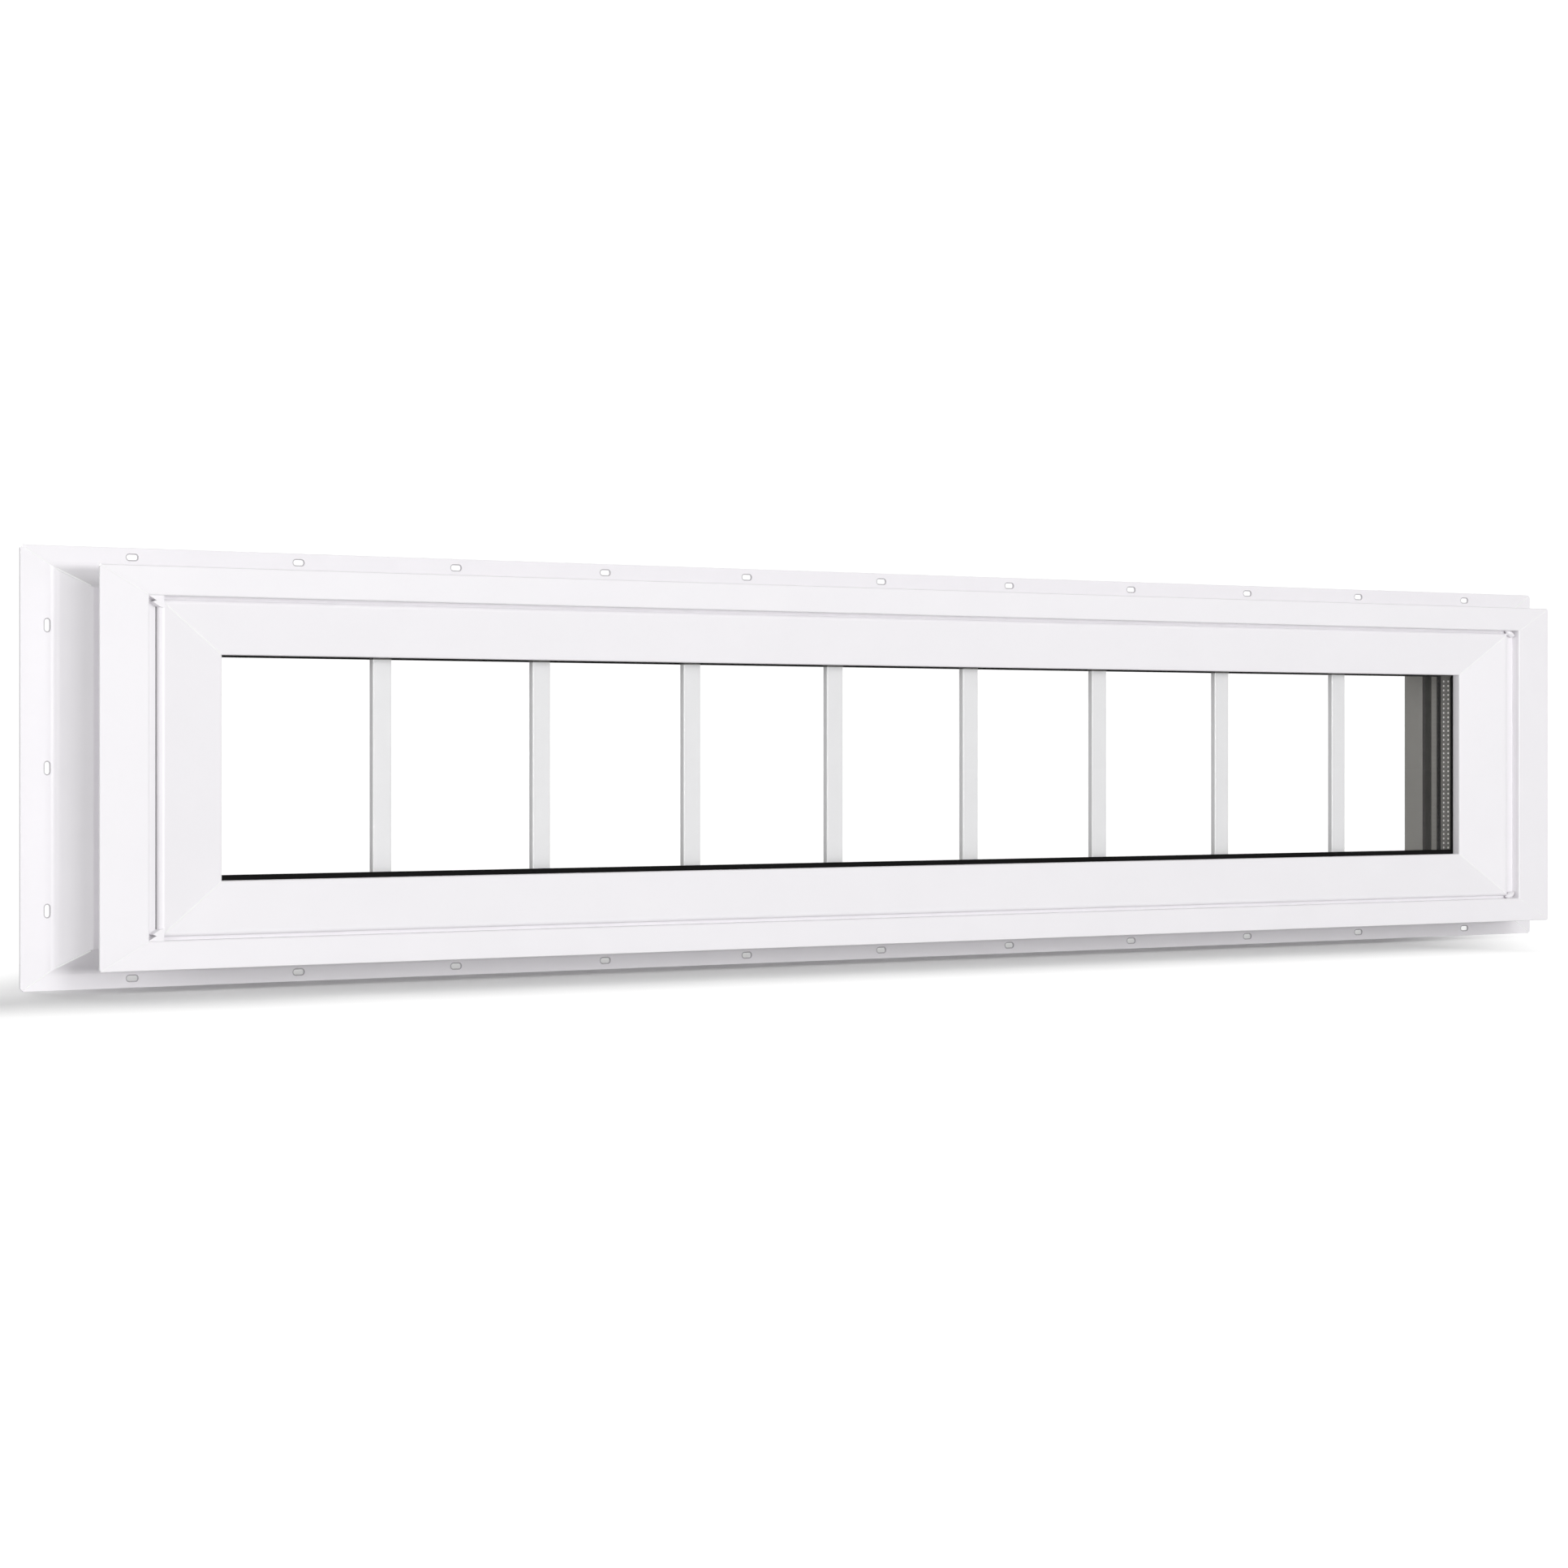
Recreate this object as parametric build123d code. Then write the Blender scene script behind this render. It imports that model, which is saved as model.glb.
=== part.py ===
from build123d import *

import math
import os
from collections import namedtuple

# White vinyl transom window, millimetres. X runs along the window, Z is up, the seen face looks
# towards -Y. The nailing fin's back face lies in the plane Y = 0, against the wall.
# An inset is measured inwards from the fin's outer edge: one value for the jambs, one for head and sill.
# A depth is measured forwards from the fin's back face, so a depth of 10 lies at Y = -10.

Inset = namedtuple("Inset", "jamb head")
INCH = 25.4

# Whole window
FIN_WIDTH = 1670.0
FIN_HEIGHT = 340.0
ORIGIN_INSET = 25.5  # height of the origin above the lower edge of the sill's fin

# Depths
FIN_THICK = 2.0
LEDGE_DEPTH = 30.0
FLANGE_FRONT = 60.0
FLANGE_THICK = 2.5
GROOVE_DEPTH = 9.0
SASH_SETBACK = 3.5
SASH_FALL = 10.0
STOP_THICK = 8.5
FRAME_BACK = -31.0

# Insets
EDGE = Inset(0.0, 0.0)
FIN_END = Inset(29.0, 17.0)
SPLAY_END = Inset(47.0, 32.0)
BOX_WALL = Inset(57.0, 35.5)
FLANGE_OUTER = Inset(37.0, 16.0)
FLANGE_INNER = Inset(79.0, 38.5)
SASH_OUTER = Inset(89.5, 41.2)
OPENING = Inset(149.0, 82.7)

# Glazing pocket
POCKET_LAP = 14.0
BEAD_NOSE = 8.5  # depth of the bead's nose behind its gasket
BEAD_RECESS_WIDTH = 13.0
BEAD_RECESS_DEEP = 6.0
BEAD_LEG_SETBACK = 0.8

# Double-glazed unit
GASKET_THICK = 1.5
GASKET_LAP = 8.0
OUTER_LIP = {"top": 0.4, "bottom": 4.2, "left": 2.4, "right": 2.4}
INNER_LIP = 1.2
INNER_GASKET_THICK = 1.5
PANE_THICK = 3.0
CAVITY = 14.0
GLASS_CLEARANCE = 3.0
SEAL_WIDTH = 3.0
SPACER_HEIGHT = 7.0
SPACER_WALL = 0.8
BLOCK_LENGTH = 100.0

# Grille between the panes
LITE_COUNT = 9
BAR_WIDTH = INCH * 11 / 16
BAR_THICK = INCH * 15 / 64
BAR_EDGE = 1.2
BAR_SETBACK = 1.0  # gap between the outer pane and the front of the bars
CLIP_LENGTH = 16.6
CLIP_WIDTH = 6.2
CLIP_THICK = 2.5
CLIP_TONGUE = 5.0
TONGUE_SETBACK = 2.4  # beside the tongue on each side; half of this in front and behind

# Nailing slots
SLOT_LENGTH = 10.5
SLOT_WIDTH = 5.2
ROW_SLOTS = 11
ROW_END = 95.0  # from the end of the fin to the middle of the last slot of a row
ROW_INSET = 7.3
COLUMN_SLOTS = 3
COLUMN_END = 61.0
COLUMN_INSET = 22.5

# Edges
SOFT_EDGE = 1.5
FIN_FILLET = 8.0
FIN_LIP_EDGE = 0.4
FLANGE_LIP_EDGE = 0.8
BEAD_EDGE = 0.6
LEDGE_EDGE = 1.0
SASH_EDGE = Inset(4.5, 2.8)
WELD_GROOVE_WIDTH = 1.6
WELD_GROOVE_DEEP = 0.45
FLANGE_CORNER_CUT = 1.5
FIN_CORNER_CUT = 2.5
MARGIN = 20.0  # how far a cutting shape reaches past what it cuts
CUT_REACH = 1.0  # the same for small cuts beside other members
TOUCH = 1e-6  # shorter edges than this are left out

BOTTOM = -ORIGIN_INSET
TOP = FIN_HEIGHT - ORIGIN_INSET
HALF = FIN_WIDTH / 2
ROW_PITCH = (FIN_WIDTH - 2 * ROW_END) / (ROW_SLOTS - 1)
COLUMN_PITCH = (FIN_HEIGHT - 2 * COLUMN_END) / (COLUMN_SLOTS - 1)
FLANGE_BACK = FLANGE_FRONT - FLANGE_THICK
GROOVE_FLOOR = FLANGE_FRONT - GROOVE_DEPTH
SASH_FRONT = FLANGE_FRONT - SASH_SETBACK
STOP_FRONT = SASH_FRONT - SASH_FALL
STOP_BACK = STOP_FRONT - STOP_THICK
GLASS_FRONT = STOP_BACK - GASKET_THICK
CAVITY_FRONT = GLASS_FRONT - PANE_THICK
CAVITY_BACK = CAVITY_FRONT - CAVITY
GLASS_BACK = CAVITY_BACK - PANE_THICK
BEAD_FRONT = GLASS_BACK - INNER_GASKET_THICK
RECESS_FRONT = BEAD_FRONT - BEAD_NOSE
RECESS_BACK = RECESS_FRONT - BEAD_RECESS_WIDTH


def shifted(inset, by):
    """The inset moved inwards by the same amount on all four sides."""
    return Inset(inset.jamb + by, inset.head + by)


POCKET_FLOOR = shifted(OPENING, -POCKET_LAP)
BEAD_RECESS = shifted(OPENING, -BEAD_RECESS_DEEP)
BEAD_LEG = shifted(OPENING, -BEAD_LEG_SETBACK)
GLASS_EDGE = shifted(POCKET_FLOOR, GLASS_CLEARANCE)
SPACER_OUTER = shifted(GLASS_EDGE, SEAL_WIDTH)
SPACER_INNER = shifted(SPACER_OUTER, SPACER_HEIGHT)


def rounded_face(corners, plane):
    """A flat face from (u, v, radius) corners, each rounded by its own radius."""
    edges = []
    count = len(corners)
    ends = []
    for i, (u, v, r) in enumerate(corners):
        pu, pv, _ = corners[i - 1]
        nu, nv, _ = corners[(i + 1) % count]
        here = Vector(u, v)
        back = (Vector(pu, pv) - here).normalized()
        ahead = (Vector(nu, nv) - here).normalized()
        if r <= 0:
            ends.append((here, here, here))
            continue
        half = math.acos(max(-1.0, min(1.0, back.dot(ahead)))) / 2
        run = r / math.tan(half)
        bisector = (back + ahead).normalized()
        middle = here + bisector * (r / math.sin(half) - r)
        ends.append((here + back * run, middle, here + ahead * run))
    for i, (start, middle, end) in enumerate(ends):
        if (end - start).length > TOUCH:
            edges.append(Edge.make_three_point_arc(start, middle, end))
        following = ends[(i + 1) % count][0]
        if (following - end).length > TOUCH:
            edges.append(Edge.make_line(end, following))
    return plane * Face(Wire(edges))


def section(profile, side):
    """The profile of (inset, depth, radius) points as (across, depth, radius) in the member's own plane.

    A radius may be a pair, for the jambs and for head and sill.
    """
    points = []
    for inset, depth, radius in profile:
        if isinstance(radius, Inset):
            radius = radius.head if side in ("top", "bottom") else radius.jamb
        if side == "top":
            points.append((-depth, TOP - inset.head, radius))
        elif side == "bottom":
            points.append((-depth, BOTTOM + inset.head, radius))
        elif side == "left":
            points.append((-HALF + inset.jamb, -depth, radius))
        else:
            points.append((HALF - inset.jamb, -depth, radius))
    return points


def mitre_outline(line, side):
    """The area in the X-Z plane that one member may fill, between the mitre lines at its two ends."""
    top_left = [(-HALF + i.jamb, TOP - i.head) for i in line]
    bottom_left = [(-HALF + i.jamb, BOTTOM + i.head) for i in line]
    if side in ("top", "bottom"):
        left = top_left if side == "top" else bottom_left
        out = MARGIN if side == "top" else -MARGIN
        right = [(-x, z) for x, z in reversed(left)]
        first = (left[0][0], left[0][1] + out)
        return [first] + left + right + [(-first[0], first[1])]
    sign = 1 if side == "left" else -1
    outline = [(top_left[0][0] - MARGIN, top_left[0][1])] + top_left
    outline += list(reversed(bottom_left)) + [(bottom_left[0][0] - MARGIN, bottom_left[0][1])]
    return [(sign * x, z) for x, z in outline]


def prism(outline, front, back):
    """A prism over an X-Z outline between two depths."""
    face = Face(Wire.make_polygon([Vector(x, -front, z) for x, z in outline], close=True))
    return extrude(face, amount=front - back, dir=(0, 1, 0))


def member(profile, line, side):
    """One mitred length of a profile on the given side of the window."""
    corners = section(profile, side)
    if side in ("top", "bottom"):
        bar = extrude(rounded_face(corners, Plane.YZ), amount=HALF, both=True)
    else:
        plane = Plane.XY.offset(BOTTOM)
        bar = extrude(rounded_face(corners, plane), amount=FIN_HEIGHT, dir=(0, 0, 1))
    depths = [depth for _, depth, _ in profile]
    cutter = prism(mitre_outline(line, side), max(depths) + MARGIN, min(depths) - MARGIN)
    return bar & cutter


def slots(side):
    """The nailing slots of one fin as one cutting shape."""
    tools = []
    rows = side in ("top", "bottom")
    count, pitch = (ROW_SLOTS, ROW_PITCH) if rows else (COLUMN_SLOTS, COLUMN_PITCH)
    for i in range(count):
        along = (i - (count - 1) / 2) * pitch
        plane = Plane.XZ.offset(-MARGIN)
        if rows:
            z = TOP - ROW_INSET if side == "top" else BOTTOM + ROW_INSET
            shape = plane * Pos(along, z) * SlotOverall(SLOT_LENGTH, SLOT_WIDTH)
        else:
            x = (-1 if side == "left" else 1) * (HALF - COLUMN_INSET)
            z = (TOP + BOTTOM) / 2 + along
            shape = plane * Pos(x, z) * Rot(0, 0, 90) * SlotOverall(SLOT_LENGTH, SLOT_WIDTH)
        tools.append(extrude(shape, amount=2 * MARGIN))
    return tools


def corner_cuts(inset, size, front, back):
    """Four small diagonal cuts across the outer corners of a layer."""
    tools = []
    for sx in (-1, 1):
        for z0, sz in ((TOP - inset.head, 1), (BOTTOM + inset.head, -1)):
            x0 = sx * (HALF - inset.jamb)
            outline = [
                (x0 + sx * size, z0 + sz * size),
                (x0 - sx * size, z0 + sz * size),
                (x0 - sx * size, z0),
                (x0, z0 - sz * size),
                (x0 + sx * size, z0 - sz * size),
            ]
            tools.append(prism(outline, front, back))
    return tools


def weld_grooves(outer, inner, front):
    """Shallow V-shaped grooves along the four mitres of a flat face, where the weld was trimmed."""
    tools = []
    for sx in (-1, 1):
        for edge, sz in ((TOP, 1), (BOTTOM, -1)):
            start = Vector(sx * (HALF - outer.jamb), 0, edge - sz * outer.head)
            end = Vector(sx * (HALF - inner.jamb), 0, edge - sz * inner.head)
            along = (end - start).normalized()
            across = along.cross(Vector(0, 1, 0)) * WELD_GROOVE_WIDTH
            root = start - along * MARGIN
            corners = [
                root + across + Vector(0, -front - WELD_GROOVE_DEEP, 0),
                root - across + Vector(0, -front - WELD_GROOVE_DEEP, 0),
                root + Vector(0, -front + WELD_GROOVE_DEEP, 0),
            ]
            face = Face(Wire.make_polygon(corners, close=True))
            length = (end - start).length + 2 * MARGIN
            tools.append(extrude(face, amount=length, dir=tuple(along)))
    return tools


def frame_member(side):
    """Fin, splay, ledge and box wall, with the front flange and the groove behind the sash's edge."""
    body = [
        (BOX_WALL, FRAME_BACK, SOFT_EDGE),
        (BOX_WALL, 0.0, 0),
        (EDGE, 0.0, 0),
        (EDGE, FIN_THICK, FIN_LIP_EDGE),
        (FIN_END, FIN_THICK, FIN_FILLET),
        (SPLAY_END, LEDGE_DEPTH, SOFT_EDGE),
        (BOX_WALL, LEDGE_DEPTH, LEDGE_EDGE),
        (BOX_WALL, FLANGE_BACK, 0),
        (FLANGE_INNER, FLANGE_BACK, 0),
        (FLANGE_INNER, GROOVE_FLOOR, 0),
        (SASH_OUTER, GROOVE_FLOOR, 0),
        (SASH_OUTER, FRAME_BACK, 0),
    ]
    flange = [
        (FLANGE_OUTER, FLANGE_BACK, FLANGE_LIP_EDGE),
        (FLANGE_OUTER, FLANGE_FRONT, FLANGE_LIP_EDGE),
        (FLANGE_INNER, FLANGE_FRONT, SOFT_EDGE),
        (FLANGE_INNER, FLANGE_BACK, 0),
    ]
    body_line = [EDGE, FIN_END, SPLAY_END, BOX_WALL, FLANGE_INNER, SASH_OUTER]
    solid = member(body, body_line, side) + member(flange, [FLANGE_OUTER, FLANGE_INNER], side)
    cuts = slots(side)
    cuts += corner_cuts(EDGE, FIN_CORNER_CUT, FIN_THICK + CUT_REACH, -CUT_REACH)
    cuts += corner_cuts(FLANGE_OUTER, FLANGE_CORNER_CUT, FLANGE_FRONT + CUT_REACH, FLANGE_BACK - CUT_REACH)
    cuts += weld_grooves(FLANGE_OUTER, FLANGE_INNER, FLANGE_FRONT)
    return solid - cuts


def sash_member(side):
    """Broad inner face that falls gently towards the glass, over a pocket open to the back."""
    stop = [
        (SASH_OUTER, STOP_BACK, 0),
        (SASH_OUTER, SASH_FRONT, SASH_EDGE),
        (OPENING, STOP_FRONT, SOFT_EDGE),
        (OPENING, STOP_BACK, 0),
    ]
    back = [
        (SASH_OUTER, FRAME_BACK, 0),
        (SASH_OUTER, STOP_BACK, 0),
        (POCKET_FLOOR, STOP_BACK, 0),
        (POCKET_FLOOR, FRAME_BACK, 0),
    ]
    back_line = [SASH_OUTER, POCKET_FLOOR, OPENING]
    return member(stop, [SASH_OUTER, OPENING], side) + member(back, back_line, side)


def bead_member(side):
    """Snap-in bead that holds the glass from the room side, with a recess behind its nose."""
    profile = [
        (POCKET_FLOOR, FRAME_BACK, 0),
        (POCKET_FLOOR, BEAD_FRONT, 0),
        (OPENING, BEAD_FRONT, BEAD_EDGE),
        (OPENING, RECESS_FRONT, BEAD_EDGE),
        (BEAD_RECESS, RECESS_FRONT, 0),
        (BEAD_RECESS, RECESS_BACK, 0),
        (BEAD_LEG, RECESS_BACK, BEAD_EDGE),
        (BEAD_LEG, FRAME_BACK, SOFT_EDGE),
    ]
    return member(profile, [POCKET_FLOOR, OPENING], side)


def gasket_strip(front, back, lip, side):
    """Flat rubber strip against one face of the glass, with a lip that shows inside the opening."""
    outer = shifted(OPENING, -GASKET_LAP)
    inner = shifted(OPENING, lip)
    profile = [(outer, back, 0), (outer, front, 0), (inner, front, 0), (inner, back, 0)]
    return member(profile, [outer, inner], side)


def ring(outer, inner, front, back):
    """A flat rectangular ring between two insets and two depths."""
    def block(inset):
        width = FIN_WIDTH - 2 * inset.jamb
        height = FIN_HEIGHT - 2 * inset.head
        return Pos(0, -(front + back) / 2, (TOP + BOTTOM) / 2) * Box(width, front - back, height)
    return block(outer) - block(inner)


def pane(front):
    """One sheet of glass whose outer face lies at the given depth."""
    width = FIN_WIDTH - 2 * GLASS_EDGE.jamb
    height = FIN_HEIGHT - 2 * GLASS_EDGE.head
    return Pos(0, -front + PANE_THICK / 2, (TOP + BOTTOM) / 2) * Box(width, PANE_THICK, height)


def spacer_member(side):
    """Hollow box spacer between the panes, mitred at the corners."""
    profile = [
        (SPACER_OUTER, CAVITY_BACK, 0),
        (SPACER_OUTER, CAVITY_FRONT, 0),
        (SPACER_INNER, CAVITY_FRONT, 0),
        (SPACER_INNER, CAVITY_BACK, 0),
    ]
    hollow = [
        (shifted(SPACER_OUTER, SPACER_WALL), CAVITY_BACK + SPACER_WALL, 0),
        (shifted(SPACER_OUTER, SPACER_WALL), CAVITY_FRONT - SPACER_WALL, 0),
        (shifted(SPACER_INNER, -SPACER_WALL), CAVITY_FRONT - SPACER_WALL, 0),
        (shifted(SPACER_INNER, -SPACER_WALL), CAVITY_BACK + SPACER_WALL, 0),
    ]
    line = [SPACER_OUTER, SPACER_INNER]
    wide = [shifted(SPACER_OUTER, -SPACER_WALL), shifted(SPACER_INNER, SPACER_WALL)]
    return member(profile, line, side) - member(hollow, wide, side)


def setting_blocks():
    """Two blocks in the sill's pocket that carry the glass."""
    blocks = []
    depth = GLASS_FRONT - GLASS_BACK
    z = BOTTOM + POCKET_FLOOR.head + GLASS_CLEARANCE / 2
    for sx in (-1, 1):
        x = sx * (HALF - GLASS_EDGE.jamb) / 2
        place = Pos(x, -(GLASS_FRONT + GLASS_BACK) / 2, z)
        blocks.append(place * Box(BLOCK_LENGTH, depth, GLASS_CLEARANCE))
    return Compound(children=blocks)


def bar_positions():
    """X of each bar, which divide the sight opening into equal lites."""
    sight = FIN_WIDTH - 2 * OPENING.jamb
    return [(i - LITE_COUNT / 2) * sight / LITE_COUNT for i in range(1, LITE_COUNT)]


def bar_depth():
    """Depth of the middle of the bars."""
    return CAVITY_FRONT - BAR_SETBACK - BAR_THICK / 2


def tongue(x, z):
    """The part of a clip that sits inside a bar, centred on the given place."""
    width = BAR_WIDTH - 2 * TONGUE_SETBACK
    thick = BAR_THICK - TONGUE_SETBACK
    return Pos(x, -bar_depth(), z) * Box(width, thick, CLIP_TONGUE)


def grille_bar(x):
    """One flat hollow-looking bar with softened edges, from clip to clip."""
    top = TOP - SPACER_INNER.head - CLIP_THICK
    bottom = BOTTOM + SPACER_INNER.head + CLIP_THICK
    plane = Plane(origin=(x, -bar_depth(), bottom), z_dir=(0, 0, 1), x_dir=(1, 0, 0))
    body = extrude(plane * RectangleRounded(BAR_WIDTH, BAR_THICK, BAR_EDGE), amount=top - bottom)
    for end, sign in ((bottom, 1), (top, -1)):
        body -= tongue(x, end + sign * CLIP_TONGUE / 2)
    return body


def clip_row(side):
    """The small clips that hold the ends of all bars on one spacer."""
    clips = []
    sign = 1 if side == "top" else -1
    edge = TOP - SPACER_INNER.head if side == "top" else BOTTOM + SPACER_INNER.head
    for x in bar_positions():
        plate = Pos(x, -bar_depth(), edge - sign * CLIP_THICK / 2) * Box(CLIP_LENGTH, CLIP_WIDTH, CLIP_THICK)
        clips.append(plate + tongue(x, edge - sign * (CLIP_THICK + CLIP_TONGUE / 2)))
    return Compound(children=clips)


def build():
    """All pieces of the window by name."""
    frame_names = {"top": "head", "bottom": "sill", "left": "jamb_left", "right": "jamb_right"}
    pieces = {}
    for side, frame_name in frame_names.items():
        pieces["frame_" + frame_name] = frame_member(side)
        pieces["sash_" + side] = sash_member(side)
        pieces["glazing_bead_" + side] = bead_member(side)
        pieces["outer_gasket_" + side] = gasket_strip(STOP_BACK, GLASS_FRONT, OUTER_LIP[side], side)
        pieces["inner_gasket_" + side] = gasket_strip(GLASS_BACK, BEAD_FRONT, INNER_LIP, side)
        pieces["spacer_" + side] = spacer_member(side)
    pieces["glass_outer_pane"] = pane(GLASS_FRONT)
    pieces["glass_inner_pane"] = pane(CAVITY_BACK)
    pieces["edge_seal"] = ring(GLASS_EDGE, SPACER_OUTER, CAVITY_FRONT, CAVITY_BACK)
    pieces["setting_blocks"] = setting_blocks()
    for i, x in enumerate(bar_positions(), start=1):
        pieces[f"grille_bar_{i}"] = grille_bar(x)
    pieces["grille_clips_top"] = clip_row("top")
    pieces["grille_clips_bottom"] = clip_row("bottom")
    return pieces


os.makedirs("parts", exist_ok=True)
for node, shape in build().items():
    export_step(shape, f"parts/{node}.step")
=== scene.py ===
"""White vinyl transom window: finishes, fine details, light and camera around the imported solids."""

import logging
import math
from dataclasses import dataclass, field
from enum import Enum
from typing import Any, Iterable, Sequence

import bpy
import bmesh
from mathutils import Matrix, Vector

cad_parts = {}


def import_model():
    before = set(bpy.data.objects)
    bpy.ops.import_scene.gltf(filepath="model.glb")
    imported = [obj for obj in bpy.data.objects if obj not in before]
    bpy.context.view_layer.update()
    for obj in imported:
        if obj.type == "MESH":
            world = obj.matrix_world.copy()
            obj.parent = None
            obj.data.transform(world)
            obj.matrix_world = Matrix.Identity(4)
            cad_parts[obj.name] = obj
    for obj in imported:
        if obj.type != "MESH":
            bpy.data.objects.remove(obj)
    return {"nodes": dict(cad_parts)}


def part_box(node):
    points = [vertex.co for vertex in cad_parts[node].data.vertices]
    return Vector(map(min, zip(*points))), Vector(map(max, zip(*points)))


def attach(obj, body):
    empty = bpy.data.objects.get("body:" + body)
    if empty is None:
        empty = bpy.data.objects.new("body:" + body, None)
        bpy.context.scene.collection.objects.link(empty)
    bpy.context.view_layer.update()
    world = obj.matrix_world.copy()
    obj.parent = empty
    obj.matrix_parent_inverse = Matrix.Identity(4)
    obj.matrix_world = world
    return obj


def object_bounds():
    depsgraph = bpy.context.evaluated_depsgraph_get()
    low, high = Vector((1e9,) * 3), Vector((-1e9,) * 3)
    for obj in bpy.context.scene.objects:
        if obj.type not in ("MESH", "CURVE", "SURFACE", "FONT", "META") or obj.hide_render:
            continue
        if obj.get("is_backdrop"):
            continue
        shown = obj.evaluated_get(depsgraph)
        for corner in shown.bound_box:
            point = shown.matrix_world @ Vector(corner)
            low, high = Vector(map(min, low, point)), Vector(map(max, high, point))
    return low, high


LOG = logging.getLogger("transom_window")
MM = 0.001
PHOTO_PIXELS = 1932
# White that the eye sees beyond the window, a little over one so that two panes leave it white.
PAPER_WHITE = 1.12
# Ray depths are whole numbers, so this lies between no bounce and one.
HALF_A_BOUNCE = 0.5
# Sides of every small round section.
ROUND_SIDES = 8
# Socket numbers of the two colours and of the result in a Mix node set to RGBA.
MIX_FIRST, MIX_SECOND, MIX_RESULT = 6, 7, 2


class Side(Enum):
    """The four sides of the window."""

    TOP = "top"
    BOTTOM = "bottom"
    LEFT = "left"
    RIGHT = "right"


def linear_colour(hex_code: str) -> tuple[float, float, float, float]:
    """Turn an sRGB hex colour into linear light.

    Args:
        hex_code: Six hex digits, with or without a leading hash.

    Returns:
        Linear red, green, blue and an alpha of one.
    """
    digits = hex_code.lstrip("#")
    channels = []
    for start in (0, 2, 4):
        value = int(digits[start:start + 2], 16) / 255.0
        channels.append(value / 12.92 if value <= 0.04045 else ((value + 0.055) / 1.055) ** 2.4)
    return channels[0], channels[1], channels[2], 1.0


def add_node(tree: bpy.types.NodeTree, kind: str, inputs: dict[Any, Any] | None = None,
             links: dict[Any, bpy.types.NodeSocket] | None = None,
             **settings: Any) -> bpy.types.Node:
    """Add one node with its settings, input values and incoming links.

    Args:
        tree: The node tree that receives the node.
        kind: The node's type name.
        inputs: Input socket name or index to value.
        links: Input socket name or index to the output socket that feeds it.
        **settings: Properties set on the node itself.

    Returns:
        The new node.
    """
    node = tree.nodes.new(kind)
    for name, value in settings.items():
        setattr(node, name, value)
    for key, value in (inputs or {}).items():
        node.inputs[key].default_value = value
    for key, socket in (links or {}).items():
        tree.links.new(socket, node.inputs[key])
    return node


def seen_by_eye(tree: bpy.types.NodeTree) -> bpy.types.NodeSocket:
    """Tell rays that come straight from the eye, also through clear glass, from all others.

    Args:
        tree: The node tree of a material or of the surround.

    Returns:
        The socket with the factor: one for such rays, nought for the others.
    """
    ray = add_node(tree, "ShaderNodeLightPath").outputs
    bounces = add_node(tree, "ShaderNodeMath", operation="ADD",
                       links={0: ray["Diffuse Depth"], 1: ray["Glossy Depth"]})
    straight = add_node(tree, "ShaderNodeMath", {1: HALF_A_BOUNCE}, {0: bounces.outputs[0]},
                        operation="LESS_THAN")
    through = add_node(tree, "ShaderNodeMath", operation="MULTIPLY",
                       links={0: ray["Is Transmission Ray"], 1: straight.outputs[0]})
    either = add_node(tree, "ShaderNodeMath", operation="MAXIMUM",
                      links={0: ray["Is Camera Ray"], 1: through.outputs[0]})
    return either.outputs[0]


def cover(tree: bpy.types.NodeTree, colours: tuple[str, str], tone: bpy.types.NodeSocket,
          sheen: tuple[float, float], relief: bpy.types.NodeSocket, bump: tuple[float, float],
          values: dict[str, float]) -> None:
    """Finish a tree as an opaque surface whose colour, gloss and height vary finely.

    Args:
        tree: The node tree.
        colours: The two colours as sRGB hex.
        tone: The pattern that blends the colours and the gloss.
        sheen: The two roughnesses.
        relief: The pattern of its height.
        bump: Strength of the relief, and its depth in millimetres.
        values: Further inputs of the surface, by name.
    """
    first, second = (linear_colour(colour) for colour in colours)
    blend = add_node(tree, "ShaderNodeMix", {MIX_FIRST: first, MIX_SECOND: second}, {0: tone},
                     data_type="RGBA")
    gloss = add_node(tree, "ShaderNodeMapRange", {"To Min": sheen[0], "To Max": sheen[1]},
                     {"Value": tone})
    normal = add_node(tree, "ShaderNodeBump", {"Strength": bump[0], "Distance": bump[1] * MM},
                      {"Height": relief})
    surface = add_node(tree, "ShaderNodeBsdfPrincipled", values,
                       {"Base Color": blend.outputs[MIX_RESULT],
                        "Roughness": gloss.outputs["Result"],
                        "Normal": normal.outputs["Normal"]})
    add_node(tree, "ShaderNodeOutputMaterial", links={"Surface": surface.outputs["BSDF"]})


def new_material(name: str) -> tuple[bpy.types.Material, bpy.types.NodeTree]:
    """Make an empty node material.

    Args:
        name: Its name.

    Returns:
        The material and its node tree.
    """
    material = bpy.data.materials.new(name)
    material.use_nodes = True
    material.node_tree.nodes.clear()
    return material, material.node_tree


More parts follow.
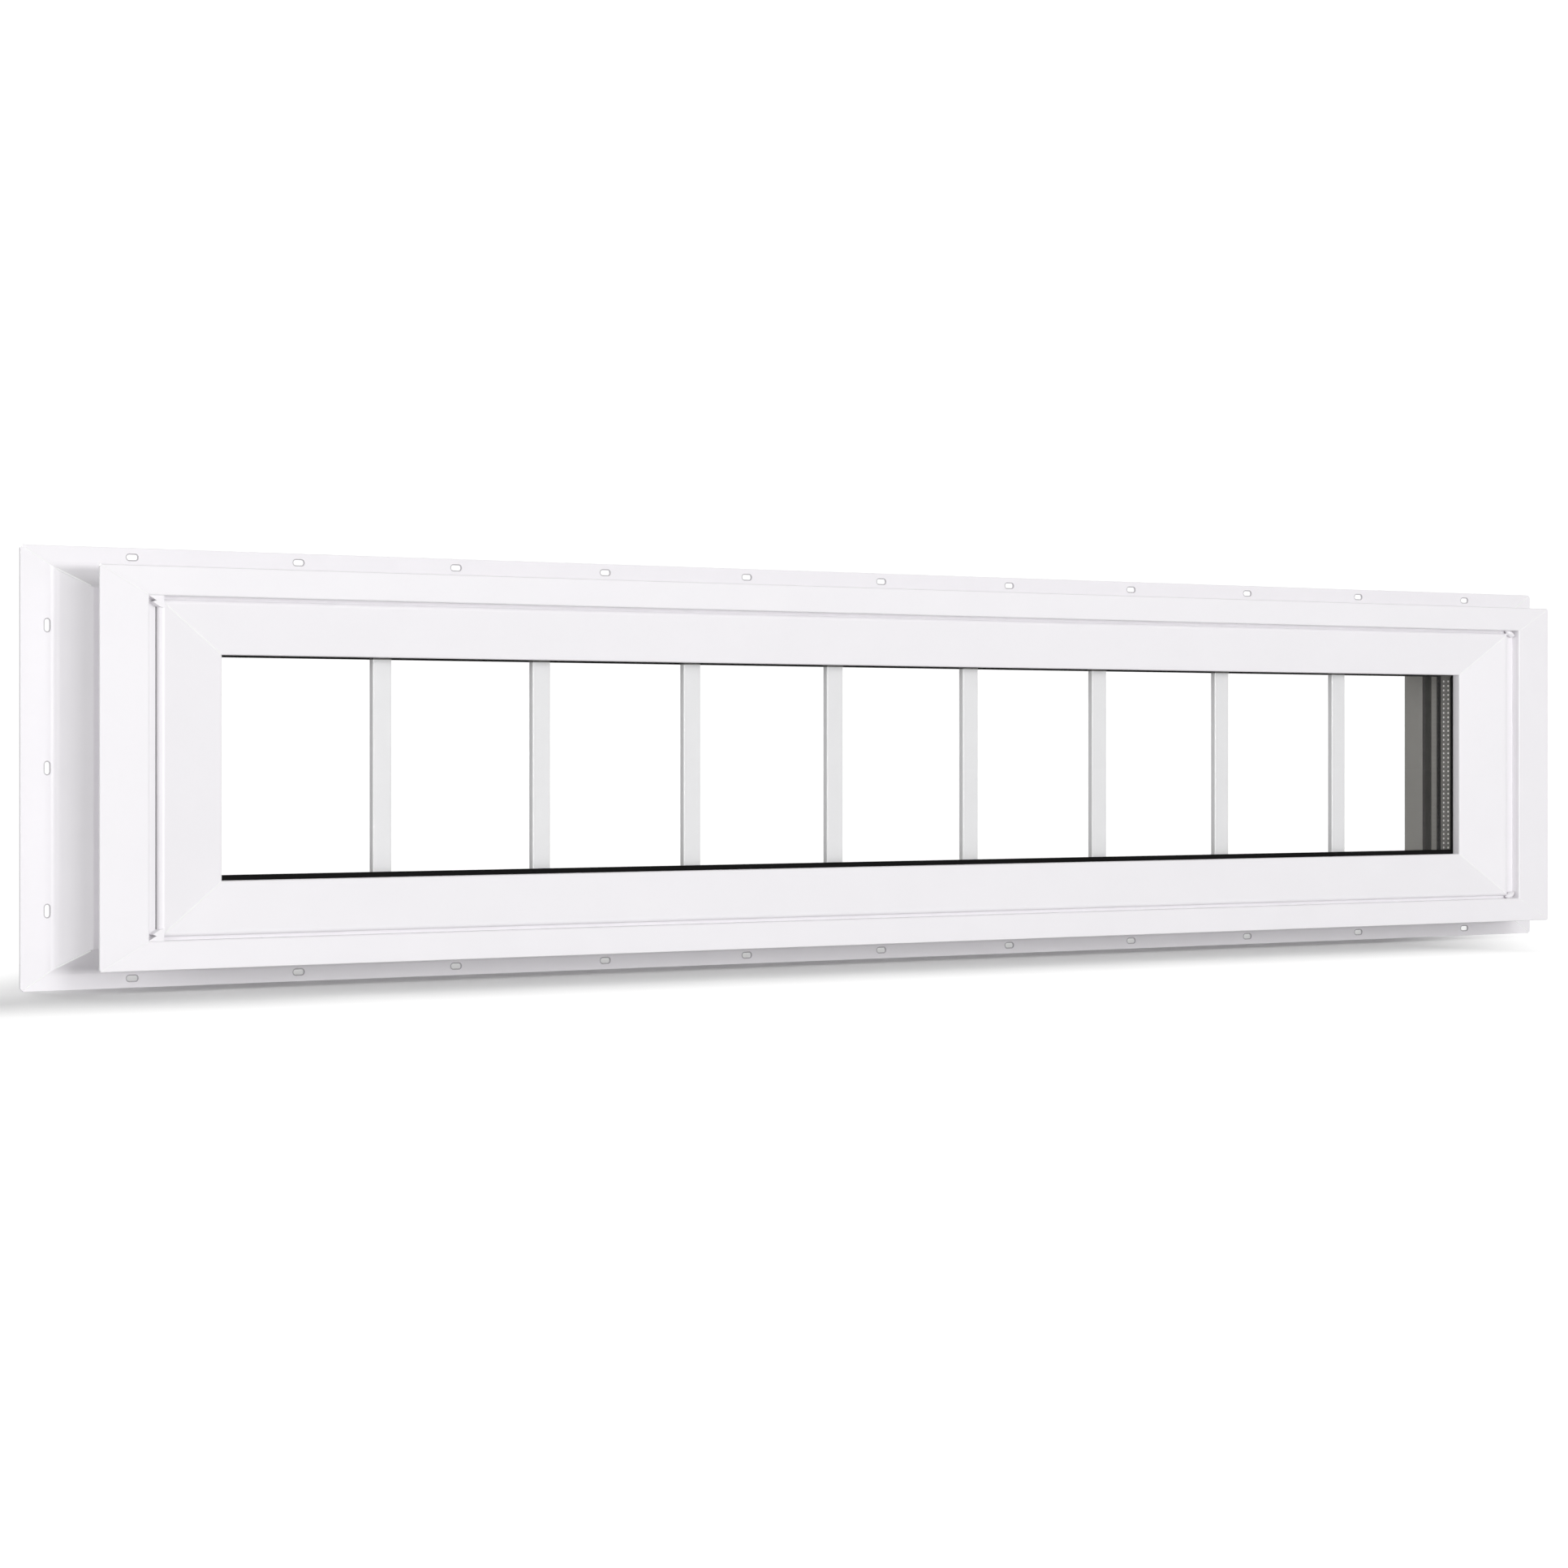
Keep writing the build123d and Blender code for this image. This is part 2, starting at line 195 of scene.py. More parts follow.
@dataclass(frozen=True)
class ExtrudedVinyl:
    """Rigid PVC pressed through a polished die: satin gloss with faint draw lines along it.

    Real draw lines are too fine to show, so they are drawn two millimetres apart.
    """

    name: str = "extruded_vinyl"
    colour: str = "F8F6F9"
    shade: str = "F5F3F6"
    sheen: tuple[float, float] = (0.32, 0.41)
    ior: float = 1.53
    cloud_mm: float = 60.0
    cloud_detail: float = 2.0
    draw_line_mm: float = 2.0
    draw_detail: float = 1.0
    draw_stretch: float = 0.02
    bump: tuple[float, float] = (0.02, 0.2)

    def build(self) -> bpy.types.Material:
        """Build the vinyl.

        Returns:
            The material.
        """
        material, tree = new_material(self.name)
        place_socket = add_node(tree, "ShaderNodeTexCoord").outputs["Object"]
        clouds = add_node(tree, "ShaderNodeTexNoise",
                          {"Scale": 1 / (self.cloud_mm * MM), "Detail": self.cloud_detail},
                          {"Vector": place_socket})
        along = add_node(tree, "ShaderNodeMapping", {"Scale": (self.draw_stretch, 1.0, 1.0)},
                         {"Vector": place_socket})
        lines = add_node(tree, "ShaderNodeTexNoise",
                         {"Scale": 1 / (self.draw_line_mm * MM), "Detail": self.draw_detail},
                         {"Vector": along.outputs["Vector"]})
        cover(tree, (self.shade, self.colour), clouds.outputs["Fac"], self.sheen,
              lines.outputs["Fac"], self.bump, {"IOR": self.ior})
        return material


@dataclass(frozen=True)
class SmoothCoat:
    """A moulded, rolled or painted surface with fine grain, for all the smaller pieces."""

    name: str
    colour: str
    shade: str
    roughness: float
    sheen_spread: float = 0.06
    ior: float = 1.5
    grain_mm: float = 1.5
    grain_detail: float = 3.0
    bump: float = 0.1
    bump_mm: float = 0.1
    metallic: float = 0.0
    specular: float = 0.5

    def build(self) -> bpy.types.Material:
        """Build the coat.

        Returns:
            The material.
        """
        material, tree = new_material(self.name)
        place_socket = add_node(tree, "ShaderNodeTexCoord").outputs["Object"]
        grain = add_node(tree, "ShaderNodeTexNoise",
                         {"Scale": 1 / (self.grain_mm * MM), "Detail": self.grain_detail},
                         {"Vector": place_socket}).outputs["Fac"]
        sheen = (self.roughness - self.sheen_spread, self.roughness + self.sheen_spread)
        cover(tree, (self.shade, self.colour), grain, sheen, grain, (self.bump, self.bump_mm),
              {"IOR": self.ior, "Metallic": self.metallic, "Specular IOR Level": self.specular})
        return material


@dataclass(frozen=True)
class FloatGlass:
    """Clear float glass: flat, fire-polished, free of tint, and open to the light behind it.

    Its index is below that of real glass, because the photographed panes mirror almost nothing.
    Light that a lamp or a dull surface sends through it passes straight, so that it isn't
    counted twice.
    """

    name: str = "float_glass"
    colour: str = "FEFEFE"
    roughness: float = 0.0
    ior: float = 1.3
    wave_mm: float = 400.0
    bump: tuple[float, float] = (0.01, 0.5)

    def build(self) -> bpy.types.Material:
        """Build the glass.

        Returns:
            The material.
        """
        material, tree = new_material(self.name)
        place_socket = add_node(tree, "ShaderNodeTexCoord").outputs["Object"]
        wave = add_node(tree, "ShaderNodeTexNoise",
                        {"Scale": 1 / (self.wave_mm * MM), "Detail": 0.0},
                        {"Vector": place_socket})
        normal = add_node(tree, "ShaderNodeBump",
                          {"Strength": self.bump[0], "Distance": self.bump[1] * MM},
                          {"Height": wave.outputs["Fac"]})
        glass = add_node(tree, "ShaderNodeBsdfPrincipled",
                         {"Base Color": linear_colour(self.colour), "Roughness": self.roughness,
                          "IOR": self.ior, "Transmission Weight": 1.0},
                         {"Normal": normal.outputs["Normal"]})
        open_way = add_node(tree, "ShaderNodeBsdfTransparent")
        ray = add_node(tree, "ShaderNodeLightPath").outputs
        lighting = add_node(tree, "ShaderNodeMath", operation="MAXIMUM",
                            links={0: ray["Is Shadow Ray"], 1: ray["Is Diffuse Ray"]})
        both = add_node(tree, "ShaderNodeMixShader",
                        links={0: lighting.outputs[0], 1: glass.outputs["BSDF"],
                               2: open_way.outputs["BSDF"]})
        add_node(tree, "ShaderNodeOutputMaterial", links={"Surface": both.outputs["Shader"]})
        return material


@dataclass(frozen=True)
class StudioFloor:
    """Plain white paper that keeps the window's shadow and reads as white further off.

    Past either end of the window the white sets in on a slanted line, because the shadow falls
    forward and aside. All reaches are in metres.
    """

    name: str = "studio_floor"
    colour: str = "F4F4F4"
    middle: float = -0.07
    fade_across: tuple[float, float] = (0.68, 0.95)
    slant: float = -0.9
    fade_deep: tuple[float, float] = (0.08, 0.36)

    def faded(self, tree: bpy.types.NodeTree, place_socket: bpy.types.NodeSocket, middle: float,
              reach: tuple[float, float]) -> bpy.types.NodeSocket:
        """Rise softly from nought to one with the distance from a middle line.

        Args:
            tree: The node tree.
            place_socket: The coordinate across the line.
            middle: Where the line lies, in metres.
            reach: Distances where the rise starts and ends, in metres.

        Returns:
            The socket with the factor.
        """
        offset = add_node(tree, "ShaderNodeMath", {1: middle}, {0: place_socket},
                          operation="SUBTRACT")
        far = add_node(tree, "ShaderNodeMath", links={0: offset.outputs[0]},
                       operation="ABSOLUTE")
        rise = add_node(tree, "ShaderNodeMapRange", {"From Min": reach[0], "From Max": reach[1]},
                        {"Value": far.outputs[0]}, interpolation_type="SMOOTHSTEP")
        return rise.outputs["Result"]

    def build(self) -> bpy.types.Material:
        """Build the floor's paper.

        Returns:
            The material.
        """
        material, tree = new_material(self.name)
        paper = add_node(tree, "ShaderNodeBsdfDiffuse", {"Color": linear_colour(self.colour)})
        place_socket = add_node(tree, "ShaderNodeTexCoord").outputs["Object"]
        apart = add_node(tree, "ShaderNodeSeparateXYZ", links={"Vector": place_socket})
        slanted = add_node(tree, "ShaderNodeVectorMath", {1: (1.0, self.slant, 0.0)},
                           {0: place_socket}, operation="DOT_PRODUCT")
        across = self.faded(tree, slanted.outputs["Value"], self.middle, self.fade_across)
        deep = self.faded(tree, apart.outputs["Y"], 0.0, self.fade_deep)
        edge = add_node(tree, "ShaderNodeMath", links={0: across, 1: deep}, operation="MAXIMUM")
        amount = add_node(tree, "ShaderNodeMath", operation="MULTIPLY",
                          links={0: seen_by_eye(tree), 1: edge.outputs[0]})
        white = add_node(tree, "ShaderNodeEmission", {"Strength": PAPER_WHITE})
        both = add_node(tree, "ShaderNodeMixShader",
                        links={0: amount.outputs[0], 1: paper.outputs["BSDF"],
                               2: white.outputs["Emission"]})
        add_node(tree, "ShaderNodeOutputMaterial", links={"Surface": both.outputs["Shader"]})
        return material


@dataclass
class Finishes:
    """All materials of the window, built once."""

    vinyl: bpy.types.Material = field(init=False)
    glass: bpy.types.Material = field(init=False)
    rubber: bpy.types.Material = field(init=False)
    sealant: bpy.types.Material = field(init=False)
    block: bpy.types.Material = field(init=False)
    spacer: bpy.types.Material = field(init=False)
    bar_paint: bpy.types.Material = field(init=False)
    clip: bpy.types.Material = field(init=False)
    bead: bpy.types.Material = field(init=False)
    recess_shade_seal: bpy.types.Material = field(init=False)
    punched: bpy.types.Material = field(init=False)
    weld: bpy.types.Material = field(init=False)
    slot_rim_shade: bpy.types.Material = field(init=False)
    joint: bpy.types.Material = field(init=False)

    def __post_init__(self) -> None:
        """Build every finish."""
        self.vinyl = ExtrudedVinyl().build()
        self.glass = FloatGlass().build()
        # Soft rubber, extruded: dull and nearly black, a crisp line at the edge of the glass.
        self.rubber = SmoothCoat("extruded_rubber", "070707", "030303", 0.7, grain_mm=0.8,
                                 bump=0.2, specular=0.15).build()
        # Butyl, gunned in by hand: black, with the slight gloss and waves of its skin.
        self.sealant = SmoothCoat("gunned_sealant", "141412", "0A0A09", 0.5, grain_mm=2.0,
                                  bump=0.3).build()
        # Neoprene blocks, moulded: dark and even.
        self.block = SmoothCoat("moulded_neoprene", "1E1E1E", "151515", 0.6,
                                grain_mm=1.0).build()
        # Aluminium strip, rolled into a box and left mill-finished: a soft dark grey.
        self.spacer = SmoothCoat("rolled_aluminium", "86847F", "767470", 0.5, grain_mm=1.0,
                                 bump=0.05, metallic=0.3).build()
        # White enamel, baked on aluminium tube: a slightly greyer white than the vinyl, glossier.
        self.bar_paint = SmoothCoat("baked_enamel", "EDEDEE", "E9E9EA", 0.32, grain_mm=20.0,
                                    bump=0.02).build()
        # Nylon, moulded, at the ends of the bars: its dark grey is painted shade of the gap between
        # bar and spacer.
        self.clip = SmoothCoat("nylon_clip_painted_shade", "6E6D6B", "646361", 0.5).build()
        # Vinyl bead behind the glass, pressed through a die: its grey is painted shade, matt beside
        # the white frame.
        self.bead = SmoothCoat("bead_vinyl_painted_shade", "9A9893", "8E8C87", 0.6, grain_mm=6.0,
                               bump=0.05, specular=0.3).build()
        # Seal pressed into the bead's recess: its dark colour is painted shade of the recess, its
        # tone varying at random.
        self.recess_shade_seal = SmoothCoat("seal_rubber_painted_shade", "43413D", "201F1D", 0.85, grain_mm=5.0,
                                    bump=0.3, specular=0.2).build()
        # Holes punched through the spacer: pale desiccant shows as bright dots in two rows.
        self.punched = SmoothCoat("punched_aluminium", "FFFEFA", "F4F2EE", 0.45,
                                  grain_mm=0.4).build()
        # Vinyl melted in the corner press and scraped off: glossier than the rest, whiter as a
        # painted highlight.
        self.weld = SmoothCoat("weld_vinyl_painted_highlight", "FFFFFF", "FBFAFB", 0.25, grain_mm=1.2,
                               bump=0.15).build()
        # Rim at the edge of the slots: matt, its grey a painted shade of the slot walls.
        self.slot_rim_shade = SmoothCoat("slot_rim_painted_shade", "CECCCF", "BCBABD", 0.7, grain_mm=0.6,
                                  bump=0.3, specular=0.2).build()
        # Line at the foot of the groove: matt, its grey a painted shade of the groove's floor.
        self.joint = SmoothCoat("groove_painted_shade", "A6A4A7", "929093", 0.7, grain_mm=0.6,
                                bump=0.3, specular=0.2).build()


@dataclass
class PackedPieces:
    """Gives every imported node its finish."""

    nodes: dict[str, bpy.types.Object]
    finishes: Finishes

    def material_for(self, name: str) -> bpy.types.Material:
        """Find the finish of one node by its name.

        Args:
            name: The node's name.

        Returns:
            Its material.
        """
        by_start = (
            ("frame_", self.finishes.vinyl),
            ("sash_", self.finishes.vinyl),
            ("glazing_bead", self.finishes.bead),
            ("glass_", self.finishes.glass),
            ("outer_gasket", self.finishes.rubber),
            ("inner_gasket", self.finishes.rubber),
            ("edge_seal", self.finishes.sealant),
            ("setting_blocks", self.finishes.block),
            ("spacer_", self.finishes.spacer),
            ("grille_bar", self.finishes.bar_paint),
            ("grille_clips", self.finishes.clip),
        )
        for start, material in by_start:
            if name.startswith(start):
                return material
        raise ValueError(f"no finish for {name}")

    def dress(self) -> None:
        """Assign the finishes."""
        for name, node in self.nodes.items():
            material = self.material_for(name)
            node.data.materials.clear()
            node.data.materials.append(material)
            LOG.info("node %s: %s", name, material.name)


def begin_nodes(name: str, measures: Sequence[str],
                counts: Sequence[str] = ()) -> bpy.types.NodeTree:
    """Begin a Geometry Nodes tree with named inputs.

    Args:
        name: Name of the tree.
        measures: Names of its inputs in metres.
        counts: Names of its whole-number inputs.

    Returns:
        The tree, with a geometry input and output.
    """
    tree = bpy.data.node_groups.new(name, "GeometryNodeTree")
    face = tree.interface
    face.new_socket("Geometry", in_out="INPUT", socket_type="NodeSocketGeometry")
    for label in measures:
        face.new_socket(label, in_out="INPUT", socket_type="NodeSocketFloat")
    for label in counts:
        face.new_socket(label, in_out="INPUT", socket_type="NodeSocketInt")
    face.new_socket("Geometry", in_out="OUTPUT", socket_type="NodeSocketGeometry")
    return tree


def end_nodes(tree: bpy.types.NodeTree, made: bpy.types.NodeSocket,
              material: bpy.types.Material) -> None:
    """End a Geometry Nodes tree: realize what it made, give it its finish and send it out.

    Args:
        tree: The tree.
        made: The geometry.
        material: Its finish.
    """
    real = add_node(tree, "GeometryNodeRealizeInstances", links={0: made})
    dressed = add_node(tree, "GeometryNodeSetMaterial", {"Material": material},
                       {"Geometry": real.outputs[0]})
    add_node(tree, "NodeGroupOutput", links={0: dressed.outputs["Geometry"]})


def run_nodes(tree: bpy.types.NodeTree, values: dict[str, Any], name: str,
              points: Sequence[Vector] = (),
              edges: Sequence[tuple[int, int]] = ()) -> bpy.types.Mesh:
    """Evaluate a Geometry Nodes tree with named input values and return a plain mesh.

    Args:
        tree: The node tree.
        values: Input name to value.
        name: Name of the resulting mesh.
        points: Points of the lines given to the tree, if it follows lines.
        edges: Pairs of point numbers that make the lines.

    Returns:
        A mesh that no longer depends on the tree.
    """
    start = bpy.data.meshes.new(name + "_maker")
    start.from_pydata([tuple(point) for point in points], list(edges), [])
    holder = bpy.data.objects.new(name + "_maker", start)
    bpy.context.scene.collection.objects.link(holder)
    modifier = holder.modifiers.new("maker", "NODES")
    modifier.node_group = tree
    sockets = {item.name: item.identifier for item in tree.interface.items_tree
               if item.item_type == "SOCKET" and item.in_out == "INPUT"}
    for key, value in values.items():
        modifier[sockets[key]] = value
    graph = bpy.context.evaluated_depsgraph_get()
    mesh = bpy.data.meshes.new_from_object(holder.evaluated_get(graph), depsgraph=graph)
    holder.modifiers.remove(modifier)
    bpy.data.objects.remove(holder)
    mesh.name = name
    return mesh


def bead_nodes(name: str, material: bpy.types.Material) -> bpy.types.NodeTree:
    """Build the node tree that runs a thin round bead along every line it is given.

    Args:
        name: Name of the tree.
        material: Finish of the bead.

    Returns:
        The node tree, with Radius as its named input.
    """
    tree = begin_nodes(name, ("Radius",))
    given = add_node(tree, "NodeGroupInput").outputs
    path = add_node(tree, "GeometryNodeMeshToCurve", links={0: given["Geometry"]})
    section = add_node(tree, "GeometryNodeCurvePrimitiveCircle", {"Resolution": ROUND_SIDES},
                       {"Radius": given["Radius"]})
    bead = add_node(tree, "GeometryNodeCurveToMesh", {"Fill Caps": True},
                    {"Curve": path.outputs[0], "Profile Curve": section.outputs["Curve"]})
    end_nodes(tree, bead.outputs["Mesh"], material)
    return tree


def as_mesh(build: bmesh.types.BMesh, name: str) -> bpy.types.Mesh:
    """Turn a finished build into a mesh and free it.

    Args:
        build: The build.
        name: Name of the mesh.

    Returns:
        The mesh.
    """
    mesh = bpy.data.meshes.new(name)
    build.to_mesh(mesh)
    build.free()
    return mesh


def place(mesh: bpy.types.Mesh, name: str, material: bpy.types.Material) -> bpy.types.Object:
    """Link a finished mesh as a piece of the window.

    Args:
        mesh: The mesh, already in place.
        name: The piece's name.
        material: Its finish.

    Returns:
        The linked object, riding on the window.
    """
    mesh.materials.clear()
    mesh.materials.append(material)
    outward = bmesh.new()
    outward.from_mesh(mesh)
    bmesh.ops.recalc_face_normals(outward, faces=outward.faces)
    outward.to_mesh(mesh)
    outward.free()
    piece = bpy.data.objects.new(name, mesh)
    bpy.context.scene.collection.objects.link(piece)
    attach(piece, "root")
    return piece


@dataclass
class Perforations:
    """Two rows of punched holes along the side of each spacer that faces the sight opening."""

    finishes: Finishes
    pitch_mm: float = 4.4
    row_gap_mm: float = 6.0
    radius_mm: float = 1.1
    proud_mm: float = 0.2
    end_gap_mm: float = 13.0

    def tree(self) -> bpy.types.NodeTree:
        """Build the node tree that sets out holes in two rows.

        Returns:
            The node tree.
        """
        tree = begin_nodes("punched_rows", ("Length", "Row Gap", "Radius", "Proud"), ("Count",))
        given = add_node(tree, "NodeGroupInput").outputs
        grid = add_node(tree, "GeometryNodeMeshGrid", {"Vertices Y": 2},
                        {"Size X": given["Length"], "Size Y": given["Row Gap"],
                         "Vertices X": given["Count"]})
        points = add_node(tree, "GeometryNodeMeshToPoints", links={"Mesh": grid.outputs["Mesh"]})
        disc = add_node(tree, "GeometryNodeMeshCylinder", {"Vertices": ROUND_SIDES},
                        {"Radius": given["Radius"], "Depth": given["Proud"]})
        copies = add_node(tree, "GeometryNodeInstanceOnPoints",
                          links={"Points": points.outputs["Points"],
                                 "Instance": disc.outputs["Mesh"]})
        end_nodes(tree, copies.outputs["Instances"], self.finishes.punched)
        return tree

    def strip(self, tree: bpy.types.NodeTree, side: Side) -> bpy.types.Object:
        """Make the holes of one spacer.

        Args:
            tree: The node tree that sets out the holes.
            side: Which spacer they are on.

        Returns:
            The finished piece, in place.
        """
        low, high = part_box(f"spacer_{side.value}")
        size = high - low
        upright = side in (Side.LEFT, Side.RIGHT)
        run = (size.z if upright else size.x) - 2 * self.end_gap_mm * MM
        count = int(run / (self.pitch_mm * MM)) + 1
        values = {"Length": (count - 1) * self.pitch_mm * MM, "Row Gap": self.row_gap_mm * MM,
                  "Radius": self.radius_mm * MM, "Proud": 2 * self.proud_mm * MM, "Count": count}
        mesh = run_nodes(tree, values, f"perforations_{side.value}")
        middle = (low + high) / 2
        face = {Side.LEFT: high.x, Side.RIGHT: low.x, Side.TOP: low.z, Side.BOTTOM: high.z}[side]
        for vertex in mesh.vertices:
            along, across, rise = vertex.co
            if upright:
                vertex.co = Vector((face + rise, middle.y + across, middle.z + along))
            else:
                vertex.co = Vector((middle.x + along, middle.y + across, face + rise))
        return place(mesh, f"perforations_{side.value}", self.finishes.punched)

    def build(self) -> list[bpy.types.Object]:
        """Build the rows on all four spacers."""
        tree = self.tree()
        return [self.strip(tree, side) for side in Side]


@dataclass
class BeadSeal:
    """Dark seal pressed into the recess of each glazing bead, painted shade of the recess, in
    millimetres.
    """

    finishes: Finishes
    recess: float = 6.0
    width: float = 13.0
    nose: float = 8.5
    fill: float = 4.4
    crown: float = 1.2
    crown_steps: int = 10
    lap: float = 14.0

    def section(self, front: float) -> list[tuple[float, float]]:
        """Draw the seal's section with its softly crowned face.

        Args:
            front: Where its front edge lies, in metres.

        Returns:
            Place and rise of every point, in metres.
        """
        points = [(front, 0.0)]
        for i in range(self.crown_steps + 1):
            t = i / self.crown_steps
            rise = self.fill + self.crown * math.sin(math.pi * t)
            points.append((front + t * self.width * MM, rise * MM))
        return points + [(front + self.width * MM, 0.0)]

    def strip(self, side: Side) -> bpy.types.Object:
        """Make the seal of one bead, mitred at both ends.

        Args:
            side: Which bead it lies in.

        Returns:
            The finished piece.
        """
        low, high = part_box(f"glazing_bead_{side.value}")
        base = (self.lap - self.recess) * MM
        build = bmesh.new()
        rings = []
        for far in (False, True):
            ring = []
            for y, rise in self.section(low.y + self.nose * MM):
                mitre = base + rise
                if side in (Side.LEFT, Side.RIGHT):
                    x = low.x + mitre if side is Side.LEFT else high.x - mitre
                    z = high.z - mitre if far else low.z + mitre
                else:
                    x = high.x - mitre if far else low.x + mitre
                    z = low.z + mitre if side is Side.BOTTOM else high.z - mitre
                ring.append(build.verts.new((x, y, z)))
            rings.append(ring)
        count = len(rings[0])
        for i in range(count):
            j = (i + 1) % count
            build.faces.new((rings[0][i], rings[0][j], rings[1][j], rings[1][i]))
        for ring in rings:
            build.faces.new(ring)
        # Its dark finish is painted shade of the bead's recess.
        name = f"recess_shade_seal_{side.value}"
        return place(as_mesh(build, name), name, self.finishes.recess_shade_seal)

    def build(self) -> list[bpy.types.Object]:
        """Build the seals on all four sides."""
        return [self.strip(side) for side in Side]


@dataclass(frozen=True)
class Inset:
    """Distance in from the fin's outer edge in millimetres, at the jambs and at head and sill."""

    jamb: float
    head: float

    def corner(self, right: bool, upper: bool, depth_mm: float) -> Vector:
        """Find the point that lies this far in from one corner of the fin.

        Args:
            right: Whether it is a right corner.
            upper: Whether it is an upper corner.
            depth_mm: Distance in front of the fin's back.

        Returns:
            The point in metres.
        """
        low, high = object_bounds()
        x = high[0] - self.jamb * MM
        z = high[2] - self.head * MM if upper else low[2] + self.head * MM
        return Vector((x if right else -x, -depth_mm * MM, z))


@dataclass
class WeldLines:
    """Fine trimmed weld beads where the mitred lengths of vinyl meet, whitened as painted highlight,
    in millimetres.
    """

    finishes: Finishes
    fin_outer: Inset = Inset(3.0, 1.8)
    fin_inner: Inset = Inset(25.0, 14.8)
    splay_outer: Inset = Inset(29.6, 17.4)
    splay_inner: Inset = Inset(46.0, 31.2)
    flange_outer: Inset = Inset(38.5, 16.8)
    flange_inner: Inset = Inset(77.5, 37.7)
    sash_outer: Inset = Inset(94.5, 44.4)
    sash_inner: Inset = Inset(147.6, 81.7)
    fin_depth: float = 2.0
    splay_outer_depth: float = 2.8
    splay_inner_depth: float = 28.9
    flange_depth: float = 60.0
    groove_depth: float = 0.12
    sash_outer_depth: float = 55.7
    sash_inner_depth: float = 46.7
    radius_mm: float = 0.9
    proud_mm: float = 0.4

    def runs(self) -> tuple[tuple[Inset, float, Inset, float], ...]:
        """List the weld lines of one corner.

        Returns:
            Inset and depth of the outer end and of the inner end of every line.
        """
        sink = self.radius_mm - self.proud_mm
        fin = self.fin_depth - sink
        flange = self.flange_depth - self.radius_mm - self.groove_depth
        return (
            (self.fin_outer, fin, self.fin_inner, fin),
            (self.splay_outer, self.splay_outer_depth, self.splay_inner, self.splay_inner_depth),
            (self.flange_outer, flange, self.flange_inner, flange),
            (self.sash_outer, self.sash_outer_depth - sink,
             self.sash_inner, self.sash_inner_depth - sink),
        )

    def build(self) -> bpy.types.Object:
        """Build all weld lines as one piece.

        Returns:
            The finished piece.
        """
        points: list[Vector] = []
        edges: list[tuple[int, int]] = []
        for outer, outer_depth, inner, inner_depth in self.runs():
            for right in (False, True):
                for upper in (True, False):
                    edges.append((len(points), len(points) + 1))
                    points += [outer.corner(right, upper, outer_depth),
                               inner.corner(right, upper, inner_depth)]
        tree = bead_nodes("weld_beads", self.finishes.weld)
        mesh = run_nodes(tree, {"Radius": self.radius_mm * MM}, "weld_lines", points, edges)
        return place(mesh, "weld_lines", self.finishes.weld)


@dataclass
class JointLine:
    """Narrow grey line at the foot of the groove along both jambs, painted shade of its floor, in
    millimetres.
    """

    finishes: Finishes
    joint: Inset = Inset(89.3, 41.0)
    floor_depth: float = 51.0
    radius_mm: float = 0.7

    def build(self) -> bpy.types.Object:
        """Build the joint lines of both jambs as one piece.

        Returns:
            The finished piece.
        """
        points = [self.joint.corner(right, upper, self.floor_depth)
                  for right in (False, True) for upper in (False, True)]
        tree = bead_nodes("joint_beads", self.finishes.joint)
        mesh = run_nodes(tree, {"Radius": self.radius_mm * MM}, "joint_line", points,
                         [(0, 1), (2, 3)])
        return place(mesh, "joint_line", self.finishes.joint)


@dataclass
class SlotRims:
    """Grey lips round the nailing slots of the fin, painted shade of the slot walls, in millimetres.
    """

    finishes: Finishes
    length: float = 10.5
    width: float = 5.2
    row_count: int = 11
    row_end: float = 95.0
    row_inset: float = 7.3
    column_count: int = 3
    column_end: float = 61.0
    column_inset: float = 22.5
    fin_depth: float = 2.0
    radius_mm: float = 0.55
    proud_mm: float = 0.2
    turns: int = 8

    def spaced(self, low: float, high: float, end: float, count: int) -> list[float]:
        """Space slots evenly along one side of the fin.

        Args:
            low: Where the side starts, in metres.
            high: Where it ends, in metres.
            end: Distance from either end to the nearest slot, in millimetres.
            count: How many slots there are.

        Returns:
            Their places in metres.
        """
        step = (high - low - 2 * end * MM) / (count - 1)
        return [low + end * MM + i * step for i in range(count)]

    def middles(self) -> list[tuple[float, float, bool]]:
        """Find every slot.

        Returns:
            The slot's middle in metres, and whether it stands upright.
        """
        low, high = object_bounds()
        found = []
        for x in self.spaced(low[0], high[0], self.row_end, self.row_count):
            found += [(x, high[2] - self.row_inset * MM, False),
                      (x, low[2] + self.row_inset * MM, False)]
        for z in self.spaced(low[2], high[2], self.column_end, self.column_count):
            found += [(low[0] + self.column_inset * MM, z, True),
                      (high[0] - self.column_inset * MM, z, True)]
        return found

    def outline(self) -> list[tuple[float, float]]:
        """Draw one slot, lying along the first axis.

        Returns:
            The points round it in metres.
        """
        radius = self.width / 2
        ends = self.length / 2 - radius
        points = []
        for sign in (1, -1):
            for i in range(self.turns + 1):
                angle = math.pi * (i / self.turns - 0.5)
                points.append((sign * (ends + math.cos(angle) * radius) * MM,
                               sign * math.sin(angle) * radius * MM))
        return points

    def build(self) -> bpy.types.Object:
        """Build the lips of all slots as one piece.

        Returns:
            The finished piece.
        """
        points: list[Vector] = []
        edges: list[tuple[int, int]] = []
        y = -(self.fin_depth + self.proud_mm - self.radius_mm) * MM
        outline = self.outline()
        count = len(outline)
        for x, z, upright in self.middles():
            start = len(points)
            for along, across in outline:
                points.append(Vector((x - across, y, z + along) if upright
                                     else (x + along, y, z + across)))
            edges += [(start + i, start + (i + 1) % count) for i in range(count)]
        tree = bead_nodes("slot_lips", self.finishes.slot_rim_shade)
        mesh = run_nodes(tree, {"Radius": self.radius_mm * MM}, "slot_rims", points, edges)
        return place(mesh, "slot_rims", self.finishes.slot_rim_shade)


